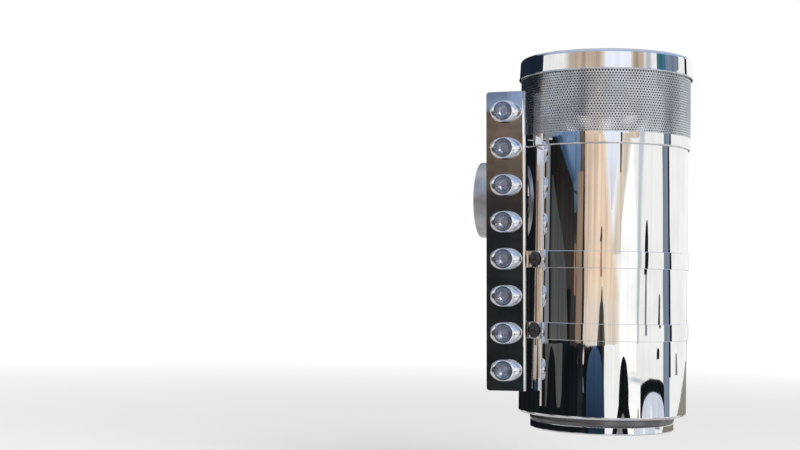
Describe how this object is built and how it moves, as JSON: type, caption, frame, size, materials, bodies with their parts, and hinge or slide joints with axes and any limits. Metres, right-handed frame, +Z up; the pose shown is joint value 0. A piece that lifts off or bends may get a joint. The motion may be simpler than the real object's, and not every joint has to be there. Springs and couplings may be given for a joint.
{
  "type": "truck external engine air cleaner with marker lamp panel",
  "caption": "Polished cylindrical engine air cleaner with perforated intake, strap mount, side outlet, drop-off bottom cover and an upright panel of oval marker lamps.",
  "frame": {"origin": "centre of the four cowl bolt holes, on the back face of the mounting plate", "axes": "+Z up, -Y towards the front of the vehicle, +X outboard, away from the cowl"},
  "size_m": [0.4902, 0.4004, 0.857],
  "materials": {
    "polished_stainless": "mirror polished",
    "perforated_stainless": "bright, perforated",
    "chrome_plate": "mirror chrome",
    "band_steel": "dark satin",
    "zinc_steel": "zinc plated",
    "bracket_paint": "semi-gloss black",
    "inner_paint": "matt black",
    "outlet_steel": "satin",
    "filter_paper": "resin treated paper",
    "element_rubber": "matt",
    "gasket_rubber": "matt",
    "black_plastic": "gloss black",
    "reflector_silver": "vacuum metallised",
    "clear_lens": "clear, moulded flutes"
  },
  "bodies": {
    "canister": {"mounting_plate": "bracket_paint", "saddle_lower": "bracket_paint", "saddle_upper": "bracket_paint", "strap_lower": "polished_stainless", "strap_upper": "polished_stainless", "clamp_bolts": "zinc_steel", "housing_body": "polished_stainless", "intake_collar": "polished_stainless", "intake_screen": "perforated_stainless", "inlet_baffle": "inner_paint", "cap": "polished_stainless", "outlet_tube": "outlet_steel", "element_media": "filter_paper", "element_ends": "element_rubber", "light_panel": "polished_stainless", "dome_nuts": "black_plastic", "lamp_housings": "chrome_plate", "lamp_reflectors": "reflector_silver", "lamp_lenses": "clear_lens", "lamp_backs": "black_plastic"},
    "cover": {"service_cover": "polished_stainless", "cover_gasket": "gasket_rubber", "clamp_band": "band_steel"}
  },
  "joints": [
    {"name": "cover_drop", "type": "slide", "parent": "canister", "child": "cover", "axis": [0, 0, -1], "range_m": [0, 0.12]}
  ]
}
